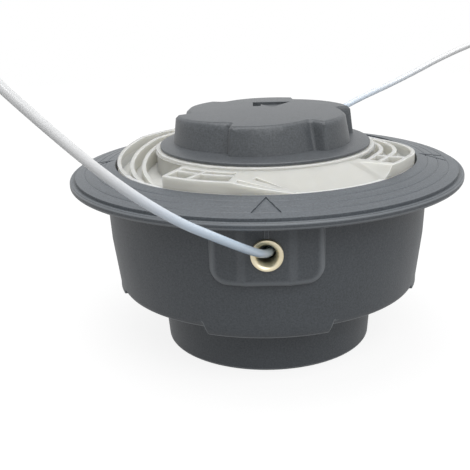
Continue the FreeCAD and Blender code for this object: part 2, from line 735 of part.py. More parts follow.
def ring_vanes(start, end):
    """Sector of long vanes which sink towards their end, and the deep groove for them."""
    wall_angle = math.degrees(CELL_WALL / RING_RADIUS)
    cell_outer = RING_RADIUS - CELL_WALL
    sweep = end - start
    block = sector(RING_RIM_RADIUS, RING_RADIUS, CELL_FLOOR_Z, BOX_TOP_Z, start, sweep)
    groove = sector(
        RING_RIM_RADIUS,
        cell_outer,
        CELL_FLOOR_Z,
        BOX_TOP_Z,
        start + wall_angle,
        sweep - wall_angle,
    )
    spacing = (cell_outer - RING_RIM_RADIUS) / 3
    vanes = []
    for index, landing in ((1, wall_angle), (2, VANE_LANDING)):
        first = RING_RIM_RADIUS + index * spacing - CELL_WALL / 2
        places = [
            (first, start),
            (first + CELL_WALL, start + VANE_BOW_SHARE * sweep),
            (cell_outer, end - landing),
        ]
        vanes.append(arc_wall(places, VANE_THICKNESS, CELL_FLOOR_Z, BOX_TOP_Z))
    ramp_start = end - VANE_RAMP_SWEEP
    ramp = sector(
        RING_RIM_RADIUS, cell_outer, CELL_FLOOR_Z, BOX_TOP_Z, ramp_start, VANE_RAMP_SWEEP
    ).cut(above_slope(ramp_start, CELL_FLOOR_Z, -VANE_RAMP_SLOPE))
    slope_start = end - VANE_FALL_SWEEP
    fall = above_slope(slope_start, BOX_TOP_Z, VANE_SLOPE).common(
        sector(0, FLANGE_RADIUS, 0, BOX_TOP_Z + CUT_ROOM, slope_start, sweep)
    )
    return joined([block.cut(groove), ramp] + vanes).cut(fall), groove


def dish_end(start):
    """Hollow sweep from the dish up to the wall that starts a sector of vanes."""
    sweep = math.degrees(DISH_END_ROUND / RING_RADIUS)
    block = sector(
        RING_RIM_RADIUS, RING_RADIUS, CELL_FLOOR_Z, BOX_TOP_Z, start - sweep, sweep
    )
    along = vector(RING_RADIUS - CELL_WALL - RING_RIM_RADIUS, 0, RING_LIP_Z - RING_RAMP_TOP_Z)
    along.normalize()
    over = along.cross(vector(0, 1, 0)) * (DISH_END_ROUND - DISH_END_SINK)
    foot = vector(RING_RIM_RADIUS, 0, RING_RAMP_TOP_Z) + over - along * CUT_ROOM
    roller = Part.makeCylinder(DISH_END_ROUND, 3 * CUT_ROOM, foot, along)
    return block.cut(turned(roller, start - sweep))


def vane_rib():
    """Cross rib in the vane sector on the right."""
    wall_angle = math.degrees(CELL_WALL / RING_RADIUS)
    start = VANE_STARTS[1] + VANE_RIB_AT
    return sector(INNER_SLOT_RADIUS, RING_RADIUS, CELL_FLOOR_Z, BOX_TOP_Z, start, wall_angle)


def spool_ring():
    """Upper flange of the spool: ramp, boxes and vanes between its rim and its lip."""
    dish = revolved(
        (SNAP_RING_RADIUS + SNAP_CLEARANCE, RING_UNDERSIDE_Z),
        (RING_RADIUS, RING_UNDERSIDE_Z),
        (RING_RADIUS, RING_LIP_Z),
        (RING_RADIUS - CELL_WALL, RING_LIP_Z),
        (RING_RIM_RADIUS, RING_RAMP_TOP_Z),
        (RING_RIM_RADIUS, RING_RIM_Z),
        (SNAP_RING_RADIUS + SNAP_CLEARANCE, RING_RIM_Z),
    )
    bead_room = ring(
        0,
        SNAP_RING_RADIUS + SNAP_BEAD + SNAP_CLEARANCE,
        SNAP_BEAD_Z - SNAP_CLEARANCE,
        SNAP_BEAD_Z + SNAP_BEAD_HEIGHT + SNAP_CLEARANCE,
    )
    box, box_cuts = ring_box()
    dish = dish.cut(bead_room)
    for half_turn, start, end in zip((0, 180), VANE_STARTS, VANE_ENDS):
        vanes, groove = ring_vanes(start, end)
        dish = dish.cut(groove).multiFuse([turned(box, half_turn), vanes, dish_end(start)])
        dish = dish.cut(turned(box_cuts, half_turn))
    return dish.fuse(vane_rib())


def spool():
    """Pale moulded spool: bearing tube, winding core, flanges, divider and top ring."""
    tube_inner = SLEEVE_RADIUS + TURN_CLEARANCE
    tube_outer = tube_inner + SPOOL_TUBE_WALL
    core_inner = SPOOL_CORE_RADIUS - SPOOL_CORE_WALL
    plate_top = POST_TOP_Z + SPOOL_LIP_THICKNESS
    web = Part.makeBox(
        core_inner - tube_inner,
        SPOOL_WEB_THICKNESS,
        RING_UNDERSIDE_Z - SPOOL_FOOT_Z,
        vector(tube_inner + SPOOL_TUBE_WALL / 2, -SPOOL_WEB_THICKNESS / 2, SPOOL_FOOT_Z),
    )
    pieces = [
        ring(tube_inner, tube_outer, SPOOL_FOOT_Z, plate_top),
        ring(core_inner, SPOOL_CORE_RADIUS, SPOOL_FOOT_Z, plate_top),
        ring(core_inner, SPOOL_LOWER_RADIUS, SPOOL_FOOT_Z, CHAMBER_FOOT_Z),
        ring(core_inner, DIVIDER_RADIUS, DIVIDER_Z, DIVIDER_Z + DIVIDER_THICKNESS),
        ring(tube_inner, RING_RIM_RADIUS, RING_UNDERSIDE_Z, plate_top),
        ring(SPOOL_LIP_RADIUS, tube_outer, POST_TOP_Z, plate_top),
        spool_ring(),
    ]
    pieces += around(web, SPOOL_WEB_COUNT)
    pieces += dog_teeth(SPOOL_FOOT_Z, -DOG_HEIGHT)
    return joined(pieces)


def line_pack(low, high):
    """Turns of line wound on the core, as one solid ring."""
    inner = SPOOL_CORE_RADIUS + PACK_CLEARANCE
    return ring(inner, PACK_RADIUS, low + PACK_CLEARANCE, high - PACK_CLEARANCE)


def lobed_wire(crest, valley, z):
    """Outline of the ratchet-shaped grip: each lobe falls from its step to the next."""
    pitch = 360.0 / KNOB_LOBES
    middle = valley + KNOB_LOBE_FULLNESS * (crest - valley)
    edges = []
    for lobe in range(KNOB_LOBES):
        start = KNOB_FIRST_STEP + lobe * pitch
        end = start + pitch - KNOB_STEP_SWEEP
        foot = polar(valley, end, z)
        fall = Part.Arc(polar(crest, start, z), polar(middle, (start + end) / 2, z), foot)
        rise = Part.LineSegment(foot, polar(crest, start + pitch, z))
        edges += [fall.toShape(), rise.toShape()]
    return Part.Wire(edges)


def lobed_block(inset, low, high):
    """Grip block between two heights; its valleys lean in more than its crests."""
    foot = lobed_wire(KNOB_CREST_RADIUS - inset, KNOB_VALLEY_RADIUS - inset, low)
    head = lobed_wire(
        KNOB_CREST_RADIUS - KNOB_CREST_LEAN - inset,
        KNOB_VALLEY_RADIUS - KNOB_VALLEY_LEAN - inset,
        high,
    )
    return Part.makeLoft([foot, head], True, True)


def knob_mark():
    """Shallow arrow head in the knob's top, with a deeper slot along its left side."""
    x, y = MARK_TIP
    low = KNOB_TOP_Z + KNOB_CROWN - MARK_RECESS_DEPTH
    slot_low = KNOB_TOP_Z + KNOB_CROWN - MARK_SLOT_DEPTH
    head = prism(
        [
            (x, y, low),
            (x + MARK_RECESS_HALF_WIDTH, y + MARK_RECESS_LENGTH, low),
            (x - MARK_RECESS_HALF_WIDTH, y + MARK_RECESS_LENGTH, low),
        ],
        vector(0, 0, CUT_ROOM),
    )
    slot = Part.makeBox(
        MARK_SLOT_WIDTH,
        MARK_SLOT_LENGTH,
        CUT_ROOM,
        vector(x - MARK_RECESS_HALF_WIDTH, y + MARK_RECESS_LENGTH - MARK_SLOT_LENGTH, slot_low),
    )
    return head.fuse(slot)


def knob():
    """Hollow bump knob with its skirt and the ring that snaps into the spool."""
    skirt_top = KNOB_FOOT_Z + KNOB_SKIRT_EDGE
    skirt = revolved(
        (0, KNOB_FOOT_Z),
        (KNOB_SKIRT_RADIUS, KNOB_FOOT_Z),
        (KNOB_SKIRT_RADIUS, skirt_top),
        (KNOB_CREST_RADIUS, skirt_top + KNOB_SKIRT_RISE),
        (0, skirt_top + KNOB_SKIRT_RISE),
    )
    crown_radius = KNOB_CREST_RADIUS ** 2 / (2 * KNOB_CROWN)
    crown = Part.makeSphere(
        crown_radius, vector(0, 0, KNOB_TOP_Z + KNOB_CROWN - crown_radius), vector(0, -1, 0)
    )
    grip = lobed_block(0, KNOB_FOOT_Z, KNOB_TOP_Z + 2 * KNOB_CROWN)
    tall = (KNOB_TOP_Z - KNOB_FOOT_Z) / 2
    uprights = [edge for edge in grip.Edges if edge.BoundBox.ZLength > tall]
    grip = grip.makeFillet(KNOB_STEP_ROUND, uprights).common(crown)
    top_edges = [edge for edge in grip.Edges if edge.BoundBox.ZMin > KNOB_TOP_Z - KNOB_CROWN]
    grip = grip.makeChamfer(KNOB_EDGE_ROUND, top_edges)
    hollow = lobed_block(KNOB_WALL, KNOB_FOOT_Z - SNAP_RING_DEPTH, KNOB_TOP_Z - KNOB_WALL)
    bead_radius = SNAP_RING_RADIUS + SNAP_BEAD
    snap = revolved(
        (SNAP_RING_RADIUS - SNAP_RING_WALL, SNAP_BEAD_Z),
        (SNAP_RING_RADIUS, SNAP_BEAD_Z),
        (bead_radius, SNAP_BEAD_Z + SNAP_BEAD_HEIGHT / 2),
        (SNAP_RING_RADIUS, SNAP_BEAD_Z + SNAP_BEAD_HEIGHT),
        (SNAP_RING_RADIUS, KNOB_FOOT_Z + KNOB_SKIRT_EDGE / 2),
        (SNAP_RING_RADIUS - SNAP_RING_WALL, KNOB_FOOT_Z + KNOB_SKIRT_EDGE / 2),
    )
    body = skirt.fuse(grip).cut(hollow).fuse(snap)
    return body.cut(knob_mark()).removeSplitter()


def free_line(name, route):
    """Stiff line end: straight runs joined by the largest tangent arcs they allow."""
    points = [vector(*point) for point in route]
    edges = []
    here = points[0]
    length = 0.0
    radii = []
    for before, corner, after in zip(points, points[1:], points[2:]):
        back = (before - corner).normalize()
        ahead = (after - corner).normalize()
        turn = math.pi - back.getAngle(ahead)
        reach = LINE_ARC_SHARE * min(before.distanceToPoint(corner), after.distanceToPoint(corner))
        radius = reach / math.tan(turn / 2)
        inward = (back + ahead).normalize()
        sag = radius / math.cos(turn / 2) - radius
        start = corner + back * reach
        end = corner + ahead * reach
        edges.append(Part.LineSegment(here, start).toShape())
        edges.append(Part.Arc(start, corner + inward * sag, end).toShape())
        length += here.distanceToPoint(start) + radius * turn
        radii.append(round(radius, 1))
        here = end
    edges.append(Part.LineSegment(here, points[-1]).toShape())
    length += here.distanceToPoint(points[-1])
    heading = (points[1] - points[0]).normalize()
    section = Part.Wire([Part.Circle(points[0], heading, LINE_DIAMETER / 2).toShape()])
    tube = Part.Wire(edges).makePipeShell([section], True, False)
    expected = math.pi * LINE_DIAMETER ** 2 / 4 * length
    print(name, "radii", radii, "length", round(length, 1), "volume ratio", tube.Volume / expected)
    return tube


def write(name, shape):
    shape.exportStep(os.path.join("parts", name + ".step"))
    print(name, shape.isValid(), len(shape.Solids), round(shape.Volume, 1))


os.makedirs("parts", exist_ok=True)
write("housing", housing())
write("arbor_bush", arbor_bush())
write("front_eyelet", eyelet())
write("rear_eyelet", turned(eyelet(), 180))
write("spring_seat", spring_seat())
write("bump_spring", bump_spring())
write("guide_sleeve", guide_sleeve())
write("retaining_washer", retaining_washer())
write("retaining_screw", retaining_screw())
write("spool", spool())
write("lower_line_pack", line_pack(CHAMBER_FOOT_Z, DIVIDER_Z))
write("upper_line_pack", line_pack(DIVIDER_Z + DIVIDER_THICKNESS, RING_UNDERSIDE_Z))
write("bump_knob", knob())
write("front_line", free_line("front_line", FRONT_LINE_ROUTE))
write("rear_line", free_line("rear_line", REAR_LINE_ROUTE))
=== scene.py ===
import bmesh
import bpy
import math
from mathutils import Matrix, Vector


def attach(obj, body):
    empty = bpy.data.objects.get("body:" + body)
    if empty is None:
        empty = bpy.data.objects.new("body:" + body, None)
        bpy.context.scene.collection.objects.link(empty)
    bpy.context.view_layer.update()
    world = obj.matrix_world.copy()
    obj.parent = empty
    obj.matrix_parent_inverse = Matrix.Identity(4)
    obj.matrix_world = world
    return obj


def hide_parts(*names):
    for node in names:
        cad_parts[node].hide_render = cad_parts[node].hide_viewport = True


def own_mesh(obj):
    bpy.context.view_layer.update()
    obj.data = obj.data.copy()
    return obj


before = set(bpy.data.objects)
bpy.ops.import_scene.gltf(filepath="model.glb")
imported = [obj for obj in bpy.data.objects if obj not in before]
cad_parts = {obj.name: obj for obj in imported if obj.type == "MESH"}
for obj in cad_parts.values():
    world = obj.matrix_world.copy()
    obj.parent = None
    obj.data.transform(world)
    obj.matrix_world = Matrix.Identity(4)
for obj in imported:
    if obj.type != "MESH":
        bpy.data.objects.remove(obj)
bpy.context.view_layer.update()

# Camera
# It stands in front of the head and looks slightly down on the bump knob, close enough
# for the flange's far side to look smaller than its near side.
image_width_pixels = 470
focal_length_pixels = 849.1
camera_place = (0, -0.275213, 0.122539)
pitch, roll, yaw = 0.311, -0.032, -0.039

camera_data = bpy.data.cameras.new("camera")
camera_data.sensor_width = 36.0
camera_data.lens = focal_length_pixels / image_width_pixels * camera_data.sensor_width
camera = bpy.data.objects.new("camera", camera_data)
bpy.context.collection.objects.link(camera)
forward = Vector(
    (math.sin(yaw) * math.cos(pitch), math.cos(yaw) * math.cos(pitch), -math.sin(pitch))
)
right_before_roll = forward.cross(Vector((0, 0, 1))).normalized()
up_before_roll = right_before_roll.cross(forward)
right = math.cos(roll) * right_before_roll + math.sin(roll) * up_before_roll
up = math.cos(roll) * up_before_roll - math.sin(roll) * right_before_roll
facing = Matrix((right, up, -forward)).transposed()
camera.matrix_world = Matrix.Translation(camera_place) @ facing.to_4x4()
bpy.context.scene.camera = camera

# Free line ends
# Two ends of stiff round nylon line, extruded and cut square. Each comes off the spool,
# leaves the head through its eyelet and stands out by its own stiffness.
line_diameter = 0.0024
line_routes = {
    "front_line": [
        (0.0014, -0.0476, 0.0447),
        (0.0002, -0.0553, 0.0457),
        (-0.0052, -0.0626, 0.0499),
        (-0.0122, -0.0734, 0.0568),
        (-0.0214, -0.0857, 0.0653),
        (-0.0337, -0.0965, 0.0779),
        (-0.0488, -0.1003, 0.0937),
        (-0.0567, -0.1013, 0.1024),
    ],
    "rear_line": [
        (-0.0014, 0.0476, 0.0449),
        (-0.0002, 0.0553, 0.0461),
        (0.0036, 0.0636, 0.0522),
        (0.0205, 0.0722, 0.0578),
        (0.0370, 0.0822, 0.0653),
        (0.0584, 0.0924, 0.0725),
        (0.0815, 0.0973, 0.0836),
        (0.0950, 0.0972, 0.0883),
    ],
}


def linear(hex_colour):
    channels = [int(hex_colour[i : i + 2], 16) / 255 for i in (1, 3, 5)]
    return [c / 12.92 if c <= 0.04045 else ((c + 0.055) / 1.055) ** 2.4 for c in channels] + [1.0]


def add_node(tree, kind, settings=(), inputs=(), links=()):
    node = tree.nodes.new(kind)
    for key, value in dict(settings).items():
        setattr(node, key, value)
    for key, value in dict(inputs).items():
        node.inputs[key].default_value = value
    for key, source in dict(links).items():
        tree.links.new(source, node.inputs[key])
    return node


def new_material(name):
    material = bpy.data.materials.new(name)
    material.use_nodes = True
    tree = material.node_tree
    place = add_node(tree, "ShaderNodeTexCoord").outputs["Object"]
    return material, tree, tree.nodes["Principled BSDF"], place


# Extruded nylon is milky: part of the light spreads through it, and its haze comes and
# goes in clouds about 4 mm long. The line is drawn bluish near the head, where the flange
# shades it, and white further out: painted shade and painted light, blended by height. In
# a colour mix, socket 0 is the share and sockets 6 and 7 are the two colours.
haze_length = 0.004
painted_shade_below, painted_light_above = 0.054, 0.084
line_nylon, tree, shader, place = new_material("extruded_nylon_line")
haze = add_node(
    tree,
    "ShaderNodeTexNoise",
    inputs={"Scale": 1 / haze_length, "Detail": 3.0},
    links={"Vector": place},
)
height = add_node(tree, "ShaderNodeSeparateXYZ", links={"Vector": place})
# Painted shade near the head, painted light further out, blended by height
painted_light_share = add_node(
    tree,
    "ShaderNodeMapRange",
    {"interpolation_type": "SMOOTHSTEP"},
    {"From Min": painted_shade_below, "From Max": painted_light_above},
    {"Value": height.outputs["Z"]},
)
painted_shade_to_light = add_node(
    tree,
    "ShaderNodeMix",
    {"data_type": "RGBA"},
    {6: linear("#D2E4FA"), 7: linear("#DFE0E1")},
    {0: painted_light_share.outputs["Result"]},
)
milk = add_node(
    tree,
    "ShaderNodeMapRange",
    inputs={"To Min": 0.92, "To Max": 1.04},
    links={"Value": haze.outputs["Fac"]},
)
tint = add_node(
    tree,
    "ShaderNodeMix",
    {"data_type": "RGBA", "blend_type": "MULTIPLY"},
    {0: 1.0},
    {6: painted_shade_to_light.outputs[2], 7: milk.outputs["Result"]},
)
gloss = add_node(
    tree,
    "ShaderNodeMapRange",
    inputs={"To Min": 0.14, "To Max": 0.26},
    links={"Value": haze.outputs["Fac"]},
)
tree.links.new(tint.outputs[2], shader.inputs["Base Color"])
tree.links.new(gloss.outputs["Result"], shader.inputs["Roughness"])
shader.inputs["IOR"].default_value = 1.53
shader.inputs["Specular IOR Level"].default_value = 0.9
shader.inputs["Subsurface Weight"].default_value = 0.5
shader.inputs["Subsurface Radius"].default_value = (1.0, 1.0, 1.0)
shader.inputs["Subsurface Scale"].default_value = 0.0035

for node, route in line_routes.items():
    curve = bpy.data.curves.new(node + "_nylon", "CURVE")
    curve.dimensions = "3D"
    curve.bevel_depth = line_diameter / 2
    curve.bevel_resolution = 6
    curve.resolution_u = 16
    curve.use_fill_caps = True
    spline = curve.splines.new("NURBS")
    spline.points.add(len(route) - 1)
    for point, where in zip(spline.points, route):
        point.co = (*where, 1.0)
    spline.order_u = 3
    spline.use_endpoint_u = True
    line = bpy.data.objects.new(node + "_nylon", curve)
    bpy.context.collection.objects.link(line)
    curve.materials.append(line_nylon)
    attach(line, "head")
    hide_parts(node)

# Housing
# One moulding of glass-filled nylon: neck collar, bowl, flange and eyelet bosses. It comes
# from a spark-eroded mould with lightly rounded edges, so it has a fine even grain.
flange_from = 0.0575
flange_marks_within = 0.0628
boss_half_width = 0.0162
boss_face_half_width = 0.0064
boss_corner = 0.005
boss_foot = 0.0357
boss_back = 0.0492
boss_top = 0.0556
boss_margin = 0.0001
outline_low, outline_high = 0.034, 0.0555
same_place = 1e-6
flat_within = math.radians(0.5)


def mesh_object(name, body):
    mesh = bpy.data.meshes.new(name)
    body.to_mesh(mesh)
    body.free()
    made = bpy.data.objects.new(name, mesh)
    bpy.context.collection.objects.link(made)
    return made


def round_edges(body, edges, radius, segments):
    return bmesh.ops.bevel(
        body, geom=edges, offset=radius, segments=segments, profile=0.5, affect="EDGES",
        clamp_overlap=False, material=-1, loop_slide=True,
    )["faces"]


# A copy of a solid has its outer edges rounded, with a painted highlight on the rounds.
# Some edges have a round of their own, given by a test that picks them, a radius, and how
# much painted highlight they get.
def moulded_copy(node, edge_round, crease, own_rounds=()):
    body = bmesh.new()
    body.from_mesh(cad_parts[node].data)
    highlight = body.faces.layers.float.new("painted_edge_highlight")
    bmesh.ops.remove_doubles(body, verts=body.verts, dist=same_place)
    bmesh.ops.dissolve_limit(
        body, angle_limit=flat_within, verts=body.verts, edges=body.edges
    )
    for picks, radius, highlight_share in own_rounds:
        picked = [e for e in body.edges if picks(e)]
        for face in round_edges(body, picked, radius, segments=4):
            face[highlight] = highlight_share
    bends = {e: e.calc_face_angle_signed(0.0) for e in body.edges}
    outer = [e for e, bend in bends.items() if bend > crease]
    for e, bend in bends.items():
        e.smooth = bend > -crease
    # Outer edges without a round of their own get a round with a full painted highlight
    unhighlighted = [e for e in outer if not any(face[highlight] for face in e.link_faces)]
    for face in round_edges(body, unhighlighted, edge_round, segments=2):
        face[highlight] = 1.0
    for face in body.faces:
        face.smooth = True
    piece = mesh_object(node + "_moulding", body)
    piece.modifiers.new("even normals", "WEIGHTED_NORMAL").keep_sharp = True
    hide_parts(node)
    return piece


# Glass-filled nylon looks charcoal with a dull sheen. The mould's grain is about 0.1 mm,
# too fine to show, so it is drawn at 0.5 mm. Edges get a painted highlight, strongest on
# the outline of the two eyelet bosses and fainter on their facets. The flange's top gets
# painted light, and it has faint rings 2.2 mm apart. A wave texture of scale 1 repeats
# every 2 pi / 20 metres.
grain_size = 0.0005
cloud_size = 0.02
ring_pitch = 0.0022
wave_at_scale_one = 2 * math.pi / 20
flange_painted_light = 0.35
edge_highlight_share, flange_edge_highlight_share = 0.5, 0.05
outline_fades_at, outline_full_at, outline_highlight = 0.0022, 0.0004, 0.6
outline_margin = 0.0002
facet_middle = boss_face_half_width + 0.0009
facet_full_within, facet_fades_by, facet_highlight = 0.0006, 0.0018, 0.16

charcoal, tree, shader, place = new_material("moulded_glass_filled_nylon")
grain = add_node(
    tree,
    "ShaderNodeTexNoise",
    inputs={"Scale": 1 / grain_size, "Detail": 2.0, "Roughness": 0.6},
    links={"Vector": place},
)
cloud = add_node(
    tree,
    "ShaderNodeTexNoise",
    inputs={"Scale": 1 / cloud_size, "Detail": 3.0},
    links={"Vector": place},
)
flow = add_node(
    tree,
    "ShaderNodeMix",
    {"data_type": "RGBA", "name": "flow"},
    {6: linear("#3E4348"), 7: linear("#474C51")},
    {0: cloud.outputs["Fac"]},
)
speck = add_node(
    tree,
    "ShaderNodeMapRange",
    inputs={"From Min": 0.3, "From Max": 0.7, "To Min": 0.7, "To Max": 1.3},
    links={"Value": grain.outputs["Fac"]},
)
position = add_node(tree, "ShaderNodeSeparateXYZ", links={"Vector": place})
on_flange = add_node(
    tree,
    "ShaderNodeMath",
    {"operation": "GREATER_THAN", "name": "flange"},
    {1: flange_from},
    {0: position.outputs["Z"]},
)
# Painted light on the flange's top, which faces the lamp overhead
flange_light = add_node(
    tree,
    "ShaderNodeMath",
    {"operation": "MULTIPLY_ADD"},
    {1: flange_painted_light, 2: 1.0},
    {0: on_flange.outputs[0]},
)
speck_and_flange_light = add_node(
    tree,
    "ShaderNodeMath",
    {"operation": "MULTIPLY"},
    links={0: speck.outputs["Result"], 1: flange_light.outputs[0]},
)
grained = add_node(
    tree,
    "ShaderNodeMix",
    {"data_type": "RGBA", "blend_type": "MULTIPLY"},
    {0: 1.0},
    {6: flow.outputs[2], 7: speck_and_flange_light.outputs[0]},
)

# Painted highlight on the rounded edges
edge = add_node(tree, "ShaderNodeAttribute", {"attribute_name": "painted_edge_highlight"})
edge_highlight_here = add_node(
    tree,
    "ShaderNodeMath",
    {"operation": "MULTIPLY_ADD", "name": "painted_edge_light"},
    {1: flange_edge_highlight_share - edge_highlight_share, 2: edge_highlight_share},
    {0: on_flange.outputs[0]},
)
edge_highlight_tone = add_node(
    tree,
    "ShaderNodeMath",
    {"operation": "MULTIPLY"},
    links={0: edge.outputs["Fac"], 1: edge_highlight_here.outputs[0]},
)

# Painted highlight in bands on the bosses, along the outline with its rounded corners and on the
# facets
aside = add_node(
    tree, "ShaderNodeMath", {"operation": "ABSOLUTE"}, links={0: position.outputs["X"]}
)
past_side = add_node(
    tree,
    "ShaderNodeMath",
    {"operation": "SUBTRACT", "use_clamp": True},
    {1: boss_half_width - boss_corner},
    {0: aside.outputs[0]},
)
past_foot = add_node(
    tree,
    "ShaderNodeMath",
    {"operation": "SUBTRACT", "use_clamp": True},
    {0: boss_foot + boss_corner},
    {1: position.outputs["Z"]},
)
corner_way = add_node(
    tree, "ShaderNodeCombineXYZ", links={"X": past_side.outputs[0], "Y": past_foot.outputs[0]}
)
from_corner = add_node(
    tree, "ShaderNodeVectorMath", {"operation": "LENGTH"}, links={0: corner_way.outputs["Vector"]}
)
outline_band = add_node(
    tree,
    "ShaderNodeMapRange",
    {"interpolation_type": "SMOOTHSTEP"},
    {
        "From Min": boss_corner - outline_fades_at,
        "From Max": boss_corner - outline_full_at,
        "To Max": outline_highlight,
    },
    {"Value": from_corner.outputs["Value"]},
)
from_facet = add_node(
    tree, "ShaderNodeMath", {"operation": "SUBTRACT"}, {1: facet_middle}, {0: aside.outputs[0]}
)
facet_way = add_node(
    tree, "ShaderNodeMath", {"operation": "ABSOLUTE"}, links={0: from_facet.outputs[0]}
)
facet_band = add_node(
    tree,
    "ShaderNodeMapRange",
    {"interpolation_type": "SMOOTHSTEP"},
    {
        "From Min": facet_full_within,
        "From Max": facet_fades_by,
        "To Min": facet_highlight,
        "To Max": 0.0,
    },
    {"Value": facet_way.outputs[0]},
)
bands = add_node(
    tree,
    "ShaderNodeMath",
    {"operation": "MAXIMUM"},
    links={0: outline_band.outputs["Result"], 1: facet_band.outputs["Result"]},
)
outward = add_node(
    tree, "ShaderNodeMath", {"operation": "ABSOLUTE"}, links={0: position.outputs["Y"]}
)
far_out = add_node(
    tree, "ShaderNodeMath", {"operation": "GREATER_THAN"}, {1: boss_back}, {0: outward.outputs[0]}
)
under_flange = add_node(
    tree, "ShaderNodeMath", {"operation": "LESS_THAN"}, {1: boss_top}, {0: position.outputs["Z"]}
)
inside_outline = add_node(
    tree,
    "ShaderNodeMath",
    {"operation": "LESS_THAN"},
    {1: boss_corner + outline_margin},
    {0: from_corner.outputs["Value"]},
)
out_and_under = add_node(
    tree,
    "ShaderNodeMath",
    {"operation": "MULTIPLY"},
    links={0: far_out.outputs[0], 1: under_flange.outputs[0]},
)
on_bosses = add_node(
    tree,
    "ShaderNodeMath",
    {"operation": "MULTIPLY"},
    links={0: out_and_under.outputs[0], 1: inside_outline.outputs[0]},
)
boss_highlight = add_node(
    tree,
    "ShaderNodeMath",
    {"operation": "MULTIPLY"},
    links={0: bands.outputs[0], 1: on_bosses.outputs[0]},
)
painted_light_tone = add_node(
    tree,
    "ShaderNodeMath",
    {"operation": "MAXIMUM"},
    links={0: edge_highlight_tone.outputs[0], 1: boss_highlight.outputs[0]},
)
colour = add_node(
    tree,
    "ShaderNodeMix",
    {"data_type": "RGBA"},
    {7: linear("#8C9196")},
    {0: painted_light_tone.outputs[0], 6: grained.outputs[2]},
)

# Sheen, rings and grain
dull = add_node(
    tree,
    "ShaderNodeMapRange",
    inputs={"To Min": 0.42, "To Max": 0.54},
    links={"Value": cloud.outputs["Fac"]},
)
turned = add_node(
    tree,
    "ShaderNodeTexWave",
    {"wave_type": "RINGS", "rings_direction": "Z"},
    {"Scale": wave_at_scale_one / ring_pitch, "Distortion": 0.4, "Detail": 1.0},
    {"Vector": place},
)
rings = add_node(
    tree,
    "ShaderNodeMath",
    {"operation": "MULTIPLY"},
    links={0: turned.outputs["Fac"], 1: on_flange.outputs[0]},
)
ringed = add_node(
    tree,
    "ShaderNodeBump",
    inputs={"Strength": 0.2, "Distance": 0.0001},
    links={"Height": rings.outputs[0]},
)
relief = add_node(
    tree,
    "ShaderNodeBump",
    inputs={"Strength": 0.5, "Distance": 0.0001},
    links={"Height": grain.outputs["Fac"], "Normal": ringed.outputs["Normal"]},
)
tree.links.new(colour.outputs[2], shader.inputs["Base Color"])
tree.links.new(dull.outputs["Result"], shader.inputs["Roughness"])
tree.links.new(relief.outputs["Normal"], shader.inputs["Normal"])
shader.inputs["IOR"].default_value = 1.5
shader.inputs["Specular IOR Level"].default_value = 0.65
shader.inputs["Sheen Weight"].default_value = 0.08
shader.inputs["Sheen Roughness"].default_value = 0.4

housing_crease = math.radians(36)
outline_bend_over, outline_bend_under = math.radians(30), math.radians(60)


def flange_step(e):
    on_top = all(
        v.co.z > flange_from and math.hypot(v.co.x, v.co.y) < flange_marks_within for v in e.verts
    )
    return on_top and e.calc_face_angle_signed(0.0) > housing_crease


def boss_outline(e):
    on_boss = all(
        abs(v.co.x) < boss_half_width + boss_margin
        and abs(v.co.y) > boss_back
        and outline_low < v.co.z < outline_high
        for v in e.verts
    )
    bend = e.calc_face_angle_signed(0.0)
    return on_boss and outline_bend_over < bend < outline_bend_under


# The steps on the flange are low, so their round is finer than the others. Each round's
# last number is its share of painted highlight.
housing = moulded_copy(
    "housing",
    edge_round=0.0003,
    crease=housing_crease,
    own_rounds=[(flange_step, 0.00006, 0.2), (boss_outline, 0.0005, 0.5)],
)
housing.data.materials.append(charcoal)
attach(housing, "head")

# Arbor bush
# A hexagon bush of zinc-plated steel, pressed into the hub from below. Its lower bore
# takes the drive shaft's thread and its upper bore the retaining screw.

# Zinc plating is a pale grey metal, duller in some patches than in others.
plating_patch = 0.003
zinc, tree, shader, place = new_material("zinc_plated_steel")
patch = add_node(
    tree,
    "ShaderNodeTexNoise",
    inputs={"Scale": 1 / plating_patch, "Detail": 4.0},
    links={"Vector": place},
)
plated = add_node(
    tree,
    "ShaderNodeMix",
    {"data_type": "RGBA"},
    {6: linear("#B9BBBC"), 7: linear("#CDCFD1")},
    {0: patch.outputs["Fac"]},
)
satin = add_node(
    tree,
    "ShaderNodeMapRange",
    inputs={"To Min": 0.28, "To Max": 0.46},
    links={"Value": patch.outputs["Fac"]},
)
tree.links.new(plated.outputs[2], shader.inputs["Base Color"])
tree.links.new(satin.outputs["Result"], shader.inputs["Roughness"])
shader.inputs["Metallic"].default_value = 1.0


def dress(node, material):
    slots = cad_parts[node].data.materials
    slots.clear()
    slots.append(material)


dress("arbor_bush", zinc)

# Eyelets
# Two brass eyelets, turned to shape and pressed into the bosses from outside. The mouth
# is a trumpet with a rolled lip, so that the line can bend over it without being cut.
eyelet_z = 0.0454
eyelet_face = 0.0539
eyelet_end = 0.04925
eyelet_bore = 0.0026
eyelet_sleeve = 0.0033
lip_radius = 0.0046
lip_height = 0.0012
lip_face = eyelet_face + lip_height
lip_roll = 0.00022
# The mouth's radius at each depth below the lip's face
trumpet = [
    (0.0041, 0),
    (0.0036, 0.0002),
    (0.0031, 0.0007),
    (0.0027, 0.0017),
    (eyelet_bore, 0.0026),
]

